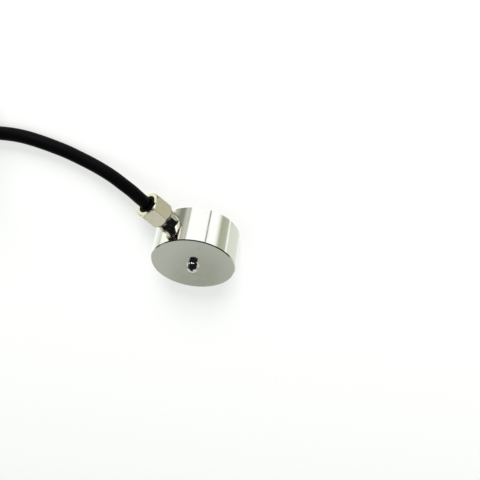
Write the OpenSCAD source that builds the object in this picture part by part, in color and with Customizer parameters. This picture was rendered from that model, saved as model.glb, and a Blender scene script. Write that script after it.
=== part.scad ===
// Button load cell: a turned steel cell with a domed load button, gauges on the
// membrane inside it, a hexagonal cable gland at its side and a coiled cable.
// It stands on its base at z = 0, and the cable leaves it towards +X.

/* [Cell body] */
// Outer diameter of the turned body
body_d = 20; // [19:0.5:26]
// Height of the body from its base to the face round the button
body_h = 9.5; // [9.3:0.1:13]
// Wall of the body round the gauge cavity
wall_t = 2.6; // [2.3:0.1:3]
// Thickness of the membrane that bends under load
membrane_t = 1.3; // [0.9:0.1:1.6]
// Chamfer round the upper face
rim_chamfer = 0.2; // [0.1:0.05:0.5]
// Chamfer round the base
base_chamfer = 0.3; // [0.1:0.05:0.5]
// Diameter of the stiff hub under the button
hub_d = 4.4; // [3.6:0.1:5]
// Radius in the corners of the membrane's underside
membrane_fillet = 0.4; // [0.2:0.05:0.6]
// Width of the ledge that the terminal ring seats on
ledge_w = 0.4; // [0.3:0.05:0.6]

/* [Load button] */
// Diameter of the load button
button_d = 2.3; // [1.8:0.1:4]
// Height of the load button above the face
button_h = 1.9; // [1.5:0.1:2.5]
// Height of the spherical dome on the button
button_dome = 0.45; // [0.2:0.05:0.5]
// Fillet where the button grows out of the face
button_fillet = 0.45; // [0.2:0.05:0.6]

/* [Base cover] */
// How far the cover reaches over its seat, past the cavity wall
cover_lip = 1.2; // [0.8:0.1:1.5]
// Thickness of the cover disc, which closes the base flush with its rim
cover_t = 0.8; // [0.6:0.05:1.2]
// Chamfer round the cover's outer edge
cover_chamfer = 0.1; // [0.05:0.05:0.2]

/* [Gauges and wiring] */
// Length of a gauge's film along the radius
gauge_l = 1.9; // [1.7:0.05:1.9]
// Width of a gauge's film
gauge_w = 2; // [1.6:0.1:2.4]
// Thickness of a gauge's film
film_t = 0.08; // [0.06:0.01:0.12]
// Thickness of the foil on the film
foil_t = 0.04; // [0.03:0.01:0.06]
// Width of one strand of the foil grid
strand_w = 0.12; // [0.08:0.01:0.16]
// Length of the strands of the foil grid
strand_l = 0.85; // [0.7:0.05:0.9]
// Height of the terminal ring's underside above the base
board_z = 5.4; // [5.2:0.1:5.6]
// Thickness of the terminal ring
board_t = 0.6; // [0.4:0.05:0.8]
// Clear space between the terminal ring and the hub
board_clear = 0.3; // [0.2:0.05:0.5]
// Diameter of the enamelled wires from the gauges
lead_d = 0.16; // [0.1:0.02:0.24]
// Length of a trim resistor
resistor_l = 1.6; // [1.2:0.1:2]
// Width of a trim resistor
resistor_w = 0.8; // [0.6:0.05:1]
// Height of a trim resistor
resistor_h = 0.45; // [0.3:0.05:0.55]

/* [Cable gland] */
// Height of the gland's axis above the base
gland_z = 3.7; // [3.6:0.05:3.8]
// Depth of the flat-bottomed seat for the collar, from the body's side
seat_depth = 0.8; // [0.6:0.1:1]
// Diameter of the spigot that is screwed into the body
spigot_d = 4; // [3.6:0.1:4.1]
// Diameter of the round collar between the body and the nut
collar_d = 5.3; // [5:0.1:5.4]
// Length of the collar from its seat
collar_l = 3; // [2.6:0.1:3.6]
// Radial width of the broken edge on the collar's outer end
collar_chamfer = 0.17; // [0.1:0.01:0.3]
// Angle of the collar's broken edge from its end face, in degrees
collar_chamfer_a = 25; // [15:5:45]
// Diameter of the threaded tail inside the nut
tail_d = 4.5; // [4.4:0.05:4.6]
// Length of the threaded tail
tail_l = 3.1; // [2.6:0.1:3.4]
// Diameter of the undercut between the collar and the nut
groove_d = 4.1; // [3.8:0.1:4.2]
// Gap between the collar and the nut
nut_gap = 0.25; // [0.15:0.05:0.4]
// Width of the nut across its flats
nut_af = 6; // [5.8:0.1:7]
// Length of the nut
nut_l = 5.15; // [4.8:0.05:6]
// Turn of the nut about the gland's axis, in degrees
nut_turn = -11.8; // [-30:0.1:30]
// Angle of the turned chamfer on the nut's end round the seal, in degrees
nut_chamfer_a = 30; // [20:1:40]
// Angle of the steeper turned chamfer on the nut's end next to the collar, in degrees
nut_neck_a = 57; // [40:1:60]
// Diameter of the round end faces of the nut
nut_face_d = 5.75; // [5.4:0.05:5.8]
// Outer diameter of the rubber seal
seal_d = 4.3; // [4.1:0.05:4.35]
// Thickness of the washer that the nut presses the seal against
washer_t = 0.3; // [0.2:0.05:0.5]

/* [Cable] */
// Outer diameter of the cable
cable_d = 2.9; // [2.7:0.05:3]
// Diameter of one insulated core
core_d = 0.6; // [0.5:0.02:0.64]
// Diameter of the bare drain wire
drain_d = 0.3; // [0.2:0.02:0.34]
// Length of the shrink sleeve at the free end
sleeve_l = 9; // [7:0.5:12]
// Outer diameter of the shrink sleeve
sleeve_d = 3.6; // [3.4:0.1:4]
// Part of a free core, out of its length of about 24, that is stripped and tinned
tinned_share = 0.2; // [0.1:0.02:0.3]

/* [Coil of cable] */
// Turns of cable side by side in the coil
coil_columns = 4; // [3:1:4]
// Layers of turns on each other in the coil
coil_rows = 5; // [4:1:6]
// Diameter at the middle of the coil's turns
coil_mean_d = 29; // [28:1:36]
// Width of a cable tie
tie_w = 2.5; // [2:0.1:3]
// Thickness of a cable tie's strap
tie_t = 0.7; // [0.5:0.05:0.9]

/* [Hidden] */

// Round faces come out smooth at this count
$fn = 96;
// Running clearance round pieces that fit into each other
fit_gap = 0.05;
// Clearance of pieces that lie on the coil
lay_gap = 0.1;
// Overshoot of a cut past the face it opens
cut = 1;

// Heights inside the body
body_r = body_d / 2;
cavity_r = body_r - wall_t;
hub_r = hub_d / 2;
membrane_z = body_h - membrane_t;
board_top_z = board_z + board_t;
upper_cavity_r = cavity_r - ledge_w;
cover_r = cavity_r + cover_lip;
hub_end_drop = 0.4;
hub_end_z = board_z - hub_end_drop;
hub_chamfer = 0.2;
button_r = button_d / 2;
button_top_z = body_h + button_h;
dome_r = (button_r * button_r + button_dome * button_dome) / (2 * button_dome);

// Gauge foil
gauge_count = 4;
gauge_edge = 0.1;
inner_gauge_r = hub_r + membrane_fillet + gauge_edge + gauge_l / 2;
outer_gauge_r = upper_cavity_r - membrane_fillet - gauge_edge - gauge_l / 2;
gauge_radii = [inner_gauge_r, outer_gauge_r, inner_gauge_r, outer_gauge_r];
strands = 6;
strand_pitch = strand_w * 1.7;
tab_l = 0.4;
tab_w = 0.5;
tab_gap = 0.1;
grid_shift = 0.25;
foil_top_z = membrane_z - film_t;
foil_z = foil_top_z - foil_t;

// Stations along the gland's axis, measured from the body's axis
seat_x = body_r - seat_depth;
spigot_end_gap = 0.1;
spigot_x = cavity_r + spigot_end_gap;
collar_x = seat_x + collar_l;
tail_x = collar_x + tail_l;
nut_x = collar_x + nut_gap;
gland_x = nut_x + nut_l;
washer_x = tail_x + washer_t;
thread_lead = 0.2;
cable_r = cable_d / 2;
jacket_gap = 0.1;
jacket_bore_r = cable_r + jacket_gap;
jacket_shelf = 0.6;
jacket_x = seat_x + jacket_shelf;
core_bore_r = 1.25;
tail_r = tail_d / 2;
spigot_r = spigot_d / 2;
collar_r = collar_d / 2;
seal_r = seal_d / 2;
nut_corner_r = nut_af / 2 / cos(30);
nut_face_r = nut_face_d / 2;
nut_chamfer_l = (nut_corner_r - nut_face_r) * tan(nut_chamfer_a);
nut_neck_l = (nut_corner_r - nut_face_r) * tan(nut_neck_a);
collar_edge_l = collar_chamfer * tan(collar_chamfer_a);

// Inner wiring, from the end of the jacket to the terminal ring
core_r = core_d / 2;
core_side = 0.45;
core_hole_gap = 0.03;
core_bend_x = cavity_r - 0.5;
pad_r = cavity_r - 2.4;
pad_angles = [48, -16, 16, -48];
core_sides = [[1, -1], [-1, 1], [1, 1], [-1, -1]];
solder_h = 0.35;
solder_r = 0.5;
solder_tip_r = 0.36;
drain_r = drain_d / 2;
drain_pad_r = cavity_r - 1.2;
resistor_r = (hub_r + cavity_r) / 2;
resistor_angles = [120, 180, 240];
end_cap_share = 0.2;
core_steps = 10;
core_faces = 8;

// Route of the cable from the gland to the coil, on the floor at its own radius
floor_z = cable_r;
cable_route = [
    [gland_x, 0, gland_z],
    [20, 0, 3.7],
    [22.5, 0, 3.55],
    [25, 0.4, 3.25],
    [27.5, 1, 2.8],
    [30, 1.9, 2.35],
    [32.5, 3, 1.95],
    [35, 4.2, 1.65],
    [37.5, 5.3, 1.5],
    [40, 6.6, floor_z],
    [42.5, 8, floor_z],
    [44.9, 9.6, floor_z],
    [46.9, 11.4, floor_z],
    [48.7, 13.6, floor_z],
    [50.5, 16, floor_z],
    [52.6, 18.4, floor_z],
    [55.2, 20.8, floor_z],
    [58.2, 23, floor_z],
    [61.3, 24.8, floor_z],
    [64.6, 26.2, floor_z],
    [68, 27.2, floor_z],
    [71.3, 27.9, floor_z],
    [74.3, 28.35, floor_z],
    [77.2, 28.7, floor_z],
    [80.2, 29, floor_z]
];
tube_sides = 8;

// Coil of cable, wound clockwise from the floor up, and what lies on it; its outermost
// turn starts where the coil is farthest in +Y
coil_x = 86.4;
turn_start_y = 29.15;
coil_mean_r = coil_mean_d / 2;
coil_w = coil_columns * cable_d;
coil_h = coil_rows * cable_d;
coil_inner_r = coil_mean_r - coil_w / 2;
coil_outer_r = coil_mean_r + coil_w / 2;
coil_y = turn_start_y - coil_outer_r + cable_r;
landing_side = 0.6;
join_a = 123;
lay_z = coil_h + cable_r + lay_gap;
tail_start_r = coil_inner_r + cable_r;
tail_steps = 10;
tail_ease = 5;
sleeve_a = 51;
sleeve_r = sleeve_d / 2;
sleeve_z = coil_h + sleeve_r + lay_gap;
free_core_z = coil_h + core_r + lay_gap;
free_drain_z = coil_h + drain_r + lay_gap;
free_turn = 90;
free_steps = 14;
free_spread = 2.2;
tinned_d = core_d * 0.75;
tie_angles = [185, 240];
tie_corner = cable_r;
tie_head = [3.6, 3.8, 2.6];
tie_groove_gap = 0.05;

// Points of an arc round a centre between two angles, without the arc's own ends
function arc(centre, r, a0, a1, steps = 8) =
    [for (i = [1:steps - 1]) let (a = a0 + (a1 - a0) * i / steps)
        [centre[0] + r * cos(a), centre[1] + r * sin(a)]];

function unit(v) = v / norm(v);

// Direction of a route at one of its points
function heading(path, i) =
    unit(path[min(i + 1, len(path) - 1)] - path[max(i - 1, 0)]);

// One ring of a tube: a polygon square to the route at a point
function ring(path, i, r, sides, side_ref, first, last) =
    let (
        t = i == 0 && norm(first) > 0 ? first
            : i == len(path) - 1 && norm(last) > 0 ? last : heading(path, i),
        u = unit(cross(side_ref, t)),
        v = cross(t, u)
    )
    [for (k = [0:sides - 1]) let (a = 360 * (k + 0.5) / sides)
        path[i] + r / cos(180 / sides) * (cos(a) * u + sin(a) * v)];

// A closed tube swept along a route, with flat ends
module tube(path, r, sides, side_ref = [0, 0, 1], first = [0, 0, 0], last = [0, 0, 0]) {
    rings = len(path);
    points = [for (i = [0:rings - 1]) each ring(path, i, r, sides, side_ref, first, last)];
    walls = [for (i = [0:rings - 2], k = [0:sides - 1]) let (n = (k + 1) % sides)
        [i * sides + k, (i + 1) * sides + k, (i + 1) * sides + n, i * sides + n]];
    start = [for (k = [0:sides - 1]) k];
    end = [for (k = [sides - 1:-1:0]) (rings - 1) * sides + k];
    polyhedron(points, concat([start], walls, [end]));
}

// A round piece turned about the gland's axis, from an outline of [radius, station]
module turned_on_gland(outline) {
    translate([0, 0, gland_z])
        rotate([0, 90, 0])
            rotate_extrude()
                polygon(outline);
}

// A plain drilled hole on the gland's axis
module gland_hole(r, x0, x1) {
    translate([x0, 0, gland_z])
        rotate([0, 90, 0])
            cylinder(r = r, h = x1 - x0);
}

// Half section of the turned body, from the base up, over the button and down inside
function body_outline() = concat(
    [
        [cover_r + fit_gap, 0],
        [body_r - base_chamfer, 0],
        [body_r, base_chamfer],
        [body_r, body_h - rim_chamfer],
        [body_r - rim_chamfer, body_h],
        [button_r + button_fillet, body_h]
    ],
    arc([button_r + button_fillet, body_h + button_fillet], button_fillet, 270, 180),
    [
        [button_r, body_h + button_fillet],
        [button_r, button_top_z - button_dome]
    ],
    arc([0, button_top_z - dome_r], dome_r, acos(button_r / dome_r), 90),
    [
        [0, button_top_z],
        [0, hub_end_z],
        [hub_r - hub_chamfer, hub_end_z],
        [hub_r, hub_end_z + hub_chamfer],
        [hub_r, membrane_z - membrane_fillet]
    ],
    arc([hub_r + membrane_fillet, membrane_z - membrane_fillet], membrane_fillet, 180, 90, 5),
    [
        [hub_r + membrane_fillet, membrane_z],
        [upper_cavity_r - membrane_fillet, membrane_z]
    ],
    arc([upper_cavity_r - membrane_fillet, membrane_z - membrane_fillet],
        membrane_fillet, 90, 0, 5),
    [
        [upper_cavity_r, membrane_z - membrane_fillet],
        [upper_cavity_r, board_top_z],
        [cavity_r, board_top_z],
        [cavity_r, cover_t],
        [cover_r + fit_gap, cover_t]
    ]
);

module cell_body() {
    color([0.78, 0.78, 0.76])
        difference() {
            rotate_extrude($fn = 180)
                polygon(body_outline());
            gland_hole(spigot_r + fit_gap, cavity_r - cut, body_r);
            gland_hole(collar_r + fit_gap, seat_x, body_r + cut);
        }
}

module base_cover() {
    color([0.72, 0.72, 0.70])
        rotate_extrude($fn = 180)
            polygon([
                [0, 0],
                [cover_r - cover_chamfer, 0],
                [cover_r, cover_chamfer],
                [cover_r, cover_t],
                [0, cover_t]
            ]);
}

// Foil of one gauge: strands joined by loops at alternate ends, and two solder tabs
module foil_grid() {
    span = (strands - 1) * strand_pitch;
    for (i = [0:strands - 1])
        translate([grid_shift - strand_l / 2, i * strand_pitch - span / 2 - strand_w / 2, 0])
            cube([strand_l, strand_w, foil_t]);
    for (i = [0:strands - 2])
        translate([
            grid_shift + (i % 2 == 0 ? strand_l / 2 - strand_w : -strand_l / 2),
            i * strand_pitch - span / 2 - strand_w / 2,
            0
        ])
            cube([strand_w, strand_pitch + strand_w, foil_t]);
    for (side = [-1, 1]) {
        translate([
            grid_shift - strand_l / 2 - tab_gap - tab_l,
            side * (span / 2 + strand_w / 2) - (side > 0 ? tab_w : 0),
            0
        ])
            cube([tab_l, tab_w, foil_t]);
        translate([
            grid_shift - strand_l / 2 - tab_gap,
            side * span / 2 - strand_w / 2,
            0
        ])
            cube([tab_gap + strand_w, strand_w, foil_t]);
    }
}

// Middle of a gauge's solder tab, along the radius and across it
tab_x = grid_shift - strand_l / 2 - tab_gap - tab_l / 2;
tab_y = (strands - 1) * strand_pitch / 2 + strand_w / 2 - tab_w / 2;

module gauge(i) {
    rotate([0, 0, 45 + i * 360 / gauge_count]) {
        color([0.85, 0.62, 0.25])
            translate([gauge_radii[i] - gauge_l / 2, -gauge_w / 2, foil_top_z])
                cube([gauge_l, gauge_w, film_t]);
        color([0.80, 0.72, 0.62])
            translate([gauge_radii[i], 0, foil_z])
                foil_grid();
    }
}

module gauge_wires() {
    color([0.70, 0.30, 0.15])
        for (i = [0:gauge_count - 1], side = [-1, 1])
            rotate([0, 0, 45 + i * 360 / gauge_count])
                translate([gauge_radii[i] + tab_x, side * tab_y, board_top_z])
                    cylinder(d = lead_d, h = foil_z - board_top_z, $fn = 24);
}

module terminal_ring() {
    color([0.10, 0.38, 0.22])
        difference() {
            translate([0, 0, board_z])
                cylinder(r = cavity_r - fit_gap, h = board_t);
            translate([0, 0, board_z - cut])
                cylinder(r = hub_r + board_clear, h = board_t + 2 * cut);
        }
}

// A chip resistor under the terminal ring, with its metal end caps proud
module resistor(i) {
    cap = resistor_l * end_cap_share;
    proud = 0.04;
    rotate([0, 0, resistor_angles[i]])
        translate([resistor_r, 0, board_z - resistor_h]) {
            color([0.12, 0.12, 0.13])
                translate([-resistor_w / 2, -resistor_l / 2 + cap, proud])
                    cube([resistor_w, resistor_l - 2 * cap, resistor_h - proud]);
            color([0.80, 0.80, 0.80])
                for (y = [-resistor_l / 2, resistor_l / 2 - cap])
                    translate([-resistor_w / 2, y, 0])
                        cube([resistor_w, cap, resistor_h]);
        }
}

// Where a core is soldered to the terminal ring
function pad(i) = [pad_r * cos(pad_angles[i]), pad_r * sin(pad_angles[i]), board_z];

module solder_joints() {
    drain_pad = [drain_pad_r, 0, board_z];
    color([0.75, 0.75, 0.76])
        for (p = concat([for (i = [0:3]) pad(i)], [drain_pad]))
            translate([p[0], p[1], board_z - solder_h])
                cylinder(r1 = solder_tip_r, r2 = solder_r, h = solder_h, $fn = 32);
}

// A point of a cubic curve from p to q that leaves along m and arrives along n
function blend(p, m, n, q, t) =
    pow(1 - t, 3) * p + 3 * pow(1 - t, 2) * t * (p + m)
    + 3 * (1 - t) * t * t * (q - n) + pow(t, 3) * q;

// Route of an inner conductor: straight out of the jacket, then up to its joint
function core_path(side, joint) =
    let (
        start = [jacket_x + jacket_gap, side[0] * core_side, gland_z + side[1] * core_side],
        bend = [core_bend_x, start[1], start[2]],
        end = [joint[0], joint[1], board_z - solder_h],
        run = norm([bend[0] - end[0], bend[1] - end[1]]) * 0.5,
        rise = (end[2] - bend[2]) * 0.8
    )
    concat(
        [start, [(start[0] + bend[0]) / 2, start[1], start[2]]],
        [for (i = [0:core_steps])
            blend(bend, [-run, 0, 0], [0, 0, rise], end, i / core_steps)]
    );

module core(i, shade) {
    color(shade)
        tube(core_path(core_sides[i], pad(i)), core_r, core_faces, [0, 1, 0],
            [-1, 0, 0], [0, 0, 1]);
}

module drain_wire() {
    start = [jacket_x + jacket_gap, 0, gland_z];
    end = [drain_pad_r, 0, board_z - solder_h];
    bend = [core_bend_x + 0.3, 0, gland_z];
    path = concat([start],
        [for (i = [0:core_steps])
            blend(bend, [-0.5, 0, 0], [0, 0, 0.6], end, i / core_steps)]);
    color([0.80, 0.78, 0.72])
        tube(path, drain_r, 6, [0, 1, 0], [-1, 0, 0], [0, 0, 1]);
}

// Silicone that seals the cores in the spigot
module potting() {
    color([0.86, 0.86, 0.82])
        difference() {
            gland_hole(core_bore_r - fit_gap, spigot_x, jacket_x);
            for (side = core_sides)
                translate([spigot_x - cut, side[0] * core_side, gland_z + side[1] * core_side])
                    rotate([0, 90, 0])
                        cylinder(r = core_r / cos(180 / core_faces) + core_hole_gap,
                            h = jacket_x - spigot_x + 2 * cut, $fn = 32);
            gland_hole(drain_r / cos(30) + core_hole_gap, spigot_x - cut, jacket_x + cut);
        }
}

module gland_nipple() {
    color([0.76, 0.74, 0.68])
        turned_on_gland([
            [core_bore_r, spigot_x],
            [spigot_r - thread_lead, spigot_x],
            [spigot_r, spigot_x + thread_lead],
            [spigot_r, seat_x],
            [collar_r, seat_x],
            [collar_r, collar_x - collar_edge_l],
            [collar_r - collar_chamfer, collar_x],
            [groove_d / 2, collar_x],
            [groove_d / 2, nut_x + thread_lead],
            [tail_r, nut_x + 2 * thread_lead],
            [tail_r, tail_x - thread_lead],
            [tail_r - thread_lead, tail_x],
            [jacket_bore_r, tail_x],
            [jacket_bore_r, jacket_x],
            [core_bore_r, jacket_x]
        ]);
}

// The nut: a hexagon with turned chamfers, bored for the thread and for the seal
module gland_nut() {
    color([0.80, 0.78, 0.68])
        difference() {
            intersection() {
                translate([nut_x, 0, gland_z])
                    rotate([0, 90, 0])
                        rotate([0, 0, nut_turn])
                            cylinder(r = nut_corner_r, h = nut_l, $fn = 6);
                turned_on_gland([
                    [0, nut_x],
                    [nut_face_r, nut_x],
                    [nut_corner_r + fit_gap, nut_x + nut_neck_l + fit_gap * tan(nut_neck_a)],
                    [nut_corner_r + fit_gap, gland_x - nut_chamfer_l - fit_gap * tan(nut_chamfer_a)],
                    [nut_face_r, gland_x],
                    [0, gland_x]
                ]);
            }
            gland_hole(tail_r + fit_gap, nut_x - cut, washer_x);
            gland_hole(seal_r + fit_gap, washer_x - fit_gap, gland_x + cut);
        }
}

module gland_washer() {
    color([0.82, 0.82, 0.82])
        difference() {
            gland_hole(tail_r - fit_gap, tail_x, washer_x);
            gland_hole(jacket_bore_r, tail_x - cut, washer_x + cut);
        }
}

module gland_seal() {
    color([0.06, 0.06, 0.06])
        difference() {
            gland_hole(seal_r, washer_x, gland_x);
            gland_hole(cable_r + fit_gap, washer_x - cut, gland_x + cut);
        }
}

// The jacket of the cable inside the gland
module jacket_end() {
    color([0.08, 0.08, 0.08])
        gland_hole(cable_r, jacket_x + jacket_gap, gland_x);
}

module cable() {
    color([0.08, 0.08, 0.08])
        tube(cable_route, cable_r, tube_sides, [0, 0, 1], [1, 0, 0]);
}

// Places a child at the coil, with the angle of its spot turned to +X
module on_coil(angle) {
    translate([coil_x, coil_y, 0])
        rotate([0, 0, angle])
            children();
}

// Section of the coil's bundle of turns, with round corners
module bundle(grow = 0) {
    for (x = [coil_inner_r + tie_corner, coil_outer_r - tie_corner],
            z = [tie_corner, coil_h - tie_corner])
        translate([x, z])
            circle(r = tie_corner + grow, $fn = 48);
    translate([coil_inner_r - grow, tie_corner])
        square([coil_w + 2 * grow, coil_h - 2 * tie_corner]);
    translate([coil_inner_r + tie_corner, -grow])
        square([coil_w - 2 * tie_corner, coil_h + 2 * grow]);
}

// The groove in the coil's outermost turn that the cable runs into, up to its flat end
module landing() {
    last = len(cable_route) - 1;
    run = cable_route[last] - cable_route[last - 1];
    translate([cable_route[last][0], cable_route[last][1], -cut])
        rotate([0, 0, atan2(run[1], run[0])])
            translate([-coil_mean_r, -cable_r - landing_side, 0])
                cube([coil_mean_r, coil_mean_r, cable_d + lay_gap + cut]);
}

// The coil as one ring, with a shallow notch under each tie
module cable_coil() {
    color([0.08, 0.08, 0.08])
        difference() {
            on_coil(0)
                rotate_extrude()
                    bundle();
            landing();
            for (a = tie_angles)
                on_coil(a)
                    translate([coil_inner_r - cut, -tie_w / 2 - tie_groove_gap, -cut])
                        cube([coil_w + 2 * cut, tie_w + 2 * tie_groove_gap,
                            tie_t + tie_groove_gap + cut]);
        }
}

// A tie's strap round the bundle, pressed into the coil at the floor, and its head
module coil_tie(i) {
    color([0.10, 0.10, 0.10])
        on_coil(tie_angles[i]) {
            difference() {
                translate([0, tie_w / 2, 0])
                    rotate([90, 0, 0])
                        linear_extrude(tie_w)
                            difference() {
                                bundle(tie_t + lay_gap);
                                bundle(lay_gap);
                            }
                translate([0, -tie_w, -2 * cut])
                    cube([2 * coil_outer_r, 2 * tie_w, 2 * cut]);
            }
            translate([coil_inner_r - lay_gap, -tie_w / 2, 0])
                cube([coil_w + 2 * lay_gap, tie_w, tie_t]);
            translate([coil_outer_r - tie_corner - tie_head[0], -tie_head[1] / 2,
                coil_h + lay_gap])
                cube(tie_head);
        }
}

// A point that lies on the coil, at an angle, a radius and a height
function on_top(angle, r, z) = [coil_x + r * cos(angle), coil_y + r * sin(angle), z];

// Heading of a clockwise turn at an angle
function clockwise(angle) = [sin(angle), -cos(angle), 0];

// An end of the sleeve on its axis: -1 where the jacket goes in, 1 where the cores come out
function sleeve_end(side) =
    on_top(sleeve_a, coil_mean_r, sleeve_z) + clockwise(sleeve_a) * side * sleeve_l / 2;

module cable_tail() {
    path = [for (i = [0:tail_steps])
        blend(on_top(join_a, tail_start_r, lay_z), clockwise(join_a) * tail_ease,
            clockwise(sleeve_a) * tail_ease, sleeve_end(-1), i / tail_steps)];
    color([0.08, 0.08, 0.08])
        tube(path, cable_r, tube_sides, [0, 0, 1], clockwise(join_a), clockwise(sleeve_a));
}

// Shrink sleeve over the jacket's end, where the cores come out
module end_sleeve() {
    color([0.05, 0.05, 0.05])
        translate(sleeve_end(-1))
            rotate([0, 0, sleeve_a])
                rotate([90, 0, 0])
                    cylinder(d = sleeve_d, h = sleeve_l, $fn = 48);
}

// Free conductor past the sleeve: it comes out beside the others, settles on the coil
// and fans out; across and up place it in the sleeve, out is its place in the fan
function free_path(across, up, out, z, from, to) =
    let (
        outward = [cos(sleeve_a), sin(sleeve_a), 0],
        start = sleeve_end(1) + outward * across + [0, 0, up],
        a = sleeve_a - free_turn,
        end = on_top(a, coil_mean_r + out * free_spread, z),
        ease = coil_mean_r * 0.55
    )
    [for (k = [0:free_steps]) let (s = from + (to - from) * k / free_steps)
        blend(start, clockwise(sleeve_a) * ease, clockwise(a) * ease, end, s)];

function free_core_path(i, from, to) =
    let (side = i < 2 ? -1 : 1, up = i == 0 || i == 3 ? 1 : -1)
    free_path(side * core_side, up * core_side, i - 1.5, free_core_z, from, to);

// Heading of a free core where its tinned end begins
function strip_heading(i) =
    let (near = free_core_path(i, 0.99 - tinned_share, 1.01 - tinned_share))
    unit(near[free_steps] - near[0]);

module free_core(i, shade) {
    color(shade)
        tube(free_core_path(i, 0, 1 - tinned_share), core_r, 6, [0, 0, 1],
            clockwise(sleeve_a), strip_heading(i));
}

module free_drain() {
    color([0.80, 0.78, 0.72])
        tube(free_path(0, 0, 0, free_drain_z, 0, 1), drain_r, 6, [0, 0, 1],
            clockwise(sleeve_a));
}

module tinned_ends() {
    color([0.78, 0.78, 0.78])
        for (i = [0:3])
            tube(free_core_path(i, 1 - tinned_share, 1), tinned_d / 2, 6, [0, 0, 1],
                strip_heading(i));
}

cell_body();
base_cover();
gauge(0);  // gauge_1
gauge(1);  // gauge_2
gauge(2);  // gauge_3
gauge(3);  // gauge_4
gauge_wires();
terminal_ring();
resistor(0);  // zero_resistor
resistor(1);  // span_resistor
resistor(2);  // thermal_resistor
solder_joints();
core(0, [0.75, 0.08, 0.06]);  // core_red
core(1, [0.07, 0.07, 0.07]);  // core_black
core(2, [0.05, 0.45, 0.15]);  // core_green
core(3, [0.90, 0.90, 0.88]);  // core_white
drain_wire();
potting();
gland_nipple();
gland_nut();
gland_seal();
gland_washer();
jacket_end();
cable();
cable_coil();
coil_tie(0);  // coil_tie_1
coil_tie(1);  // coil_tie_2
cable_tail();
end_sleeve();
free_core(0, [0.75, 0.08, 0.06]);  // free_red
free_core(1, [0.07, 0.07, 0.07]);  // free_black
free_core(2, [0.05, 0.45, 0.15]);  // free_green
free_core(3, [0.90, 0.90, 0.88]);  // free_white
free_drain();
tinned_ends();
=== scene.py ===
# %% [markdown]
# # A button load cell
# This lesson dresses a small compression load cell. The real one is a squat turned
# cylinder of polished stainless steel, about 20 mm across, with a small domed button
# on its face that takes the load. A thin black cable leaves it through a hexagonal
# cable gland at its side. The solids come from a CAD frame that already has the right
# sizes, so this script adds what a solid model lacks: the soft cable in its coil, the
# finishes, the light and the camera.

import bpy
import numpy as np
from mathutils import Matrix


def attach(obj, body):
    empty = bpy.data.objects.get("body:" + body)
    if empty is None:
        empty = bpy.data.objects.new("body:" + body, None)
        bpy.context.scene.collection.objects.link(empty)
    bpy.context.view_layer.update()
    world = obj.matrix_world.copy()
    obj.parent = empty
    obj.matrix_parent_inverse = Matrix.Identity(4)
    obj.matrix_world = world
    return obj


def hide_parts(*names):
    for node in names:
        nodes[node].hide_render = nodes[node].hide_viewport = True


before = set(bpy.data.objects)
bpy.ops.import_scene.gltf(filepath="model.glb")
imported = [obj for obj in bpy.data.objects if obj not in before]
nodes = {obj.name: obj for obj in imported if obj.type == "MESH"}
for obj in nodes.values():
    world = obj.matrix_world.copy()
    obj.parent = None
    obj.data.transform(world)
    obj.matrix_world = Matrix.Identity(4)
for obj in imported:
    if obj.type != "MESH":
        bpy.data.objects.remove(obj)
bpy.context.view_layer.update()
mm = 0.001
print("frame holds", len(nodes), "solids")

# %% [markdown]
# ## The camera
# A photograph fixes three things: where the lens stands, where it looks and how it is
# rolled. The cell stands on its base here, while the one in the photograph lies on its
# side, so the camera is rolled almost half a turn to see the same picture. Writing the
# camera's right, up and backward directions is the most direct way to say such a roll.

# %% Camera
def make_camera():
    """Places a 52.5 mm lens from its three directions and its place in millimetres."""
    data = bpy.data.cameras.new("photo_camera")
    data.lens = 52.5
    data.sensor_width = 36
    data.clip_start = 0.005
    data.clip_end = 20
    camera = bpy.data.objects.new("photo_camera", data)
    bpy.context.scene.collection.objects.link(camera)
    right = (-0.589886, -0.799821, -0.110998)
    up = (0.514741, -0.266548, -0.814858)
    back = (0.622154, -0.537809, 0.568934)
    place = (98.524, -98.593, 96.896)
    rows = [[right[i], up[i], back[i], place[i] * mm] for i in range(3)]
    camera.matrix_world = Matrix(rows + [[0, 0, 0, 1]])
    bpy.context.scene.camera = camera
    return camera


camera = make_camera()
print("camera stands", round(camera.location.length * 1000), "mm from the base")

# %% [markdown]
# ## Helpers for surfaces
# Every new piece is a grid of points: one direction runs along the piece and the other
# round it. numpy works the whole grid out at once, which is faster than a loop and
# reads like the formula. The grid also gives each piece its UV map, with U along the
# piece and V round it, both in millimetres, so a pattern keeps its real size.

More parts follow.
